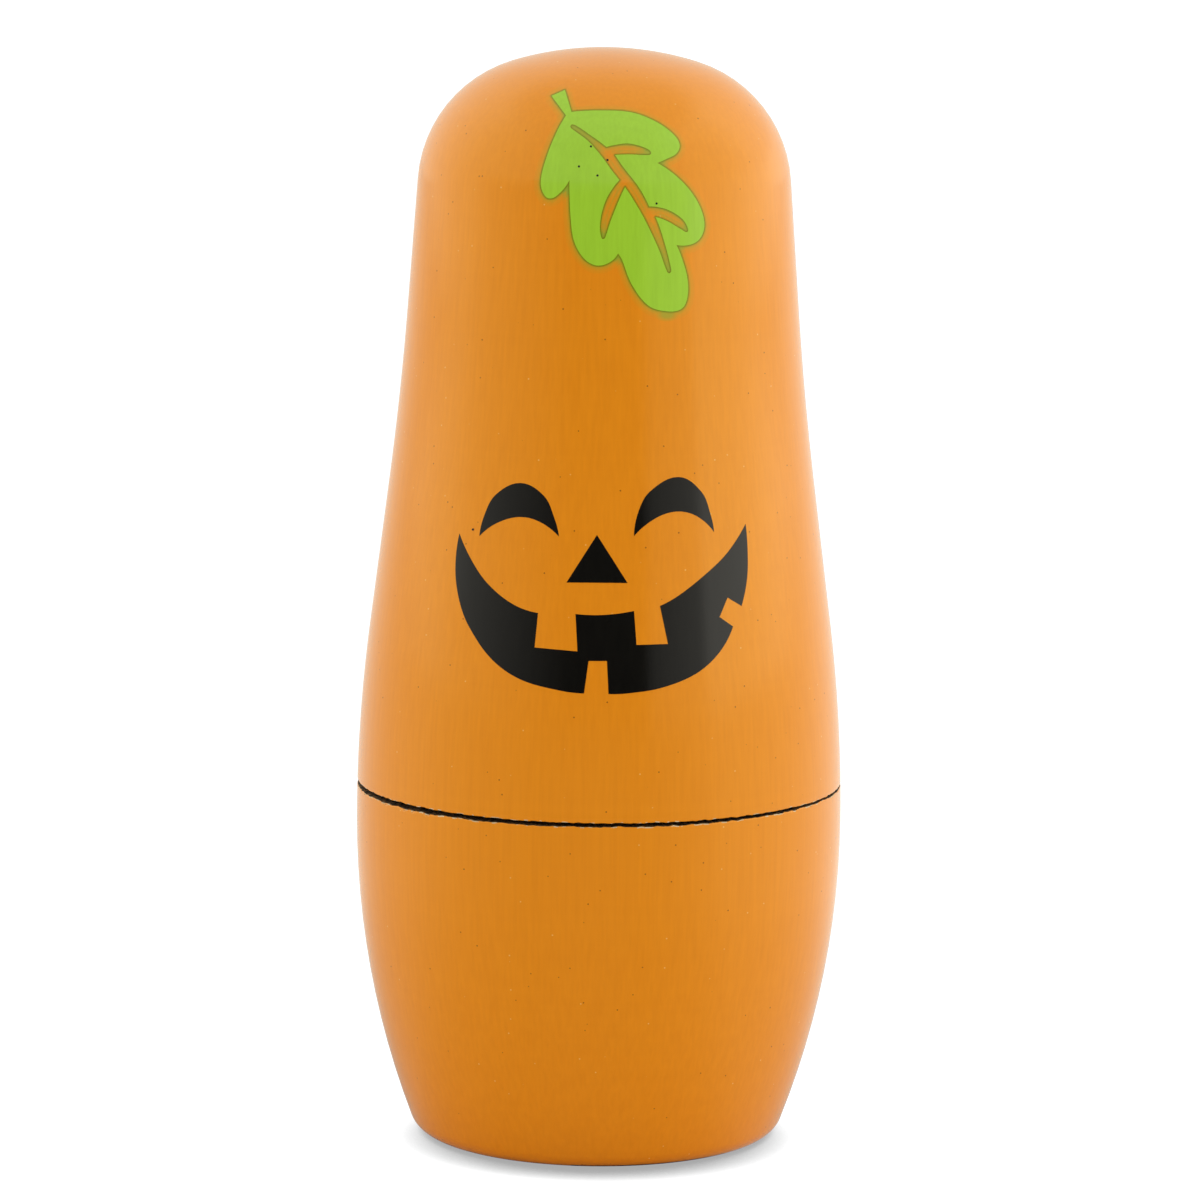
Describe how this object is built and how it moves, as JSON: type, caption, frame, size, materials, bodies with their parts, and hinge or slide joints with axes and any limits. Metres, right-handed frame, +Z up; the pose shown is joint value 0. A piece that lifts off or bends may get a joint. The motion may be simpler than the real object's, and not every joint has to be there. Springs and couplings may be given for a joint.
{
  "type": "nesting doll",
  "caption": "Turned wooden nesting doll painted as a grinning pumpkin with an oak leaf on its head; the top lifts off a collar at the belly to free smaller dolls inside.",
  "frame": {"origin": "centre of the foot, on the surface that the doll stands on", "axes": "+Z up along the turning axis, -Y towards the painted face"},
  "size_m": [0.0668, 0.0668, 0.15],
  "materials": {
    "orange_lacquer": "gloss lacquer",
    "black_paint": "gloss paint",
    "leaf_paint": "gloss paint",
    "leaf_edge_paint": "gloss paint",
    "bare_wood": "bare turned wood"
  },
  "bodies": {
    "outer_base": {"outer_base": "orange_lacquer"},
    "outer_top": {"outer_top": "orange_lacquer"},
    "second_base": {"second_base": "orange_lacquer"},
    "second_top": {"second_top": "orange_lacquer"},
    "third_base": {"third_base": "orange_lacquer"},
    "third_top": {"third_top": "orange_lacquer"},
    "fourth_base": {"fourth_base": "orange_lacquer"},
    "fourth_top": {"fourth_top": "orange_lacquer"},
    "smallest_doll": {"smallest_doll": "orange_lacquer"}
  },
  "joints": [
    {"name": "outer_top_lift", "type": "slide", "parent": "outer_base", "child": "outer_top", "axis": [0, 0, 1], "range_m": [0, 0.44]},
    {"name": "second_doll_lift", "type": "slide", "parent": "outer_base", "child": "second_base", "axis": [0, 0, 1], "range_m": [0, 0.0616]},
    {"name": "second_top_lift", "type": "slide", "parent": "second_base", "child": "second_top", "axis": [0, 0, 1], "range_m": [0, 0.286]},
    {"name": "third_doll_lift", "type": "slide", "parent": "second_base", "child": "third_base", "axis": [0, 0, 1], "range_m": [0, 0.0506]},
    {"name": "third_top_lift", "type": "slide", "parent": "third_base", "child": "third_top", "axis": [0, 0, 1], "range_m": [0, 0.1628]},
    {"name": "fourth_doll_lift", "type": "slide", "parent": "third_base", "child": "fourth_base", "axis": [0, 0, 1], "range_m": [0, 0.0418]},
    {"name": "fourth_top_lift", "type": "slide", "parent": "fourth_base", "child": "fourth_top", "axis": [0, 0, 1], "range_m": [0, 0.0682]},
    {"name": "smallest_doll_lift", "type": "slide", "parent": "fourth_base", "child": "smallest_doll", "axis": [0, 0, 1], "range_m": [0, 0.0308]}
  ],
  "couplings": [
    {"joint": "second_doll_lift", "follows": "outer_top_lift", "ratio": 0.14},
    {"joint": "second_top_lift", "follows": "outer_top_lift", "ratio": 0.65},
    {"joint": "third_doll_lift", "follows": "outer_top_lift", "ratio": 0.115},
    {"joint": "third_top_lift", "follows": "outer_top_lift", "ratio": 0.37},
    {"joint": "fourth_doll_lift", "follows": "outer_top_lift", "ratio": 0.095},
    {"joint": "fourth_top_lift", "follows": "outer_top_lift", "ratio": 0.155},
    {"joint": "smallest_doll_lift", "follows": "outer_top_lift", "ratio": 0.07}
  ]
}
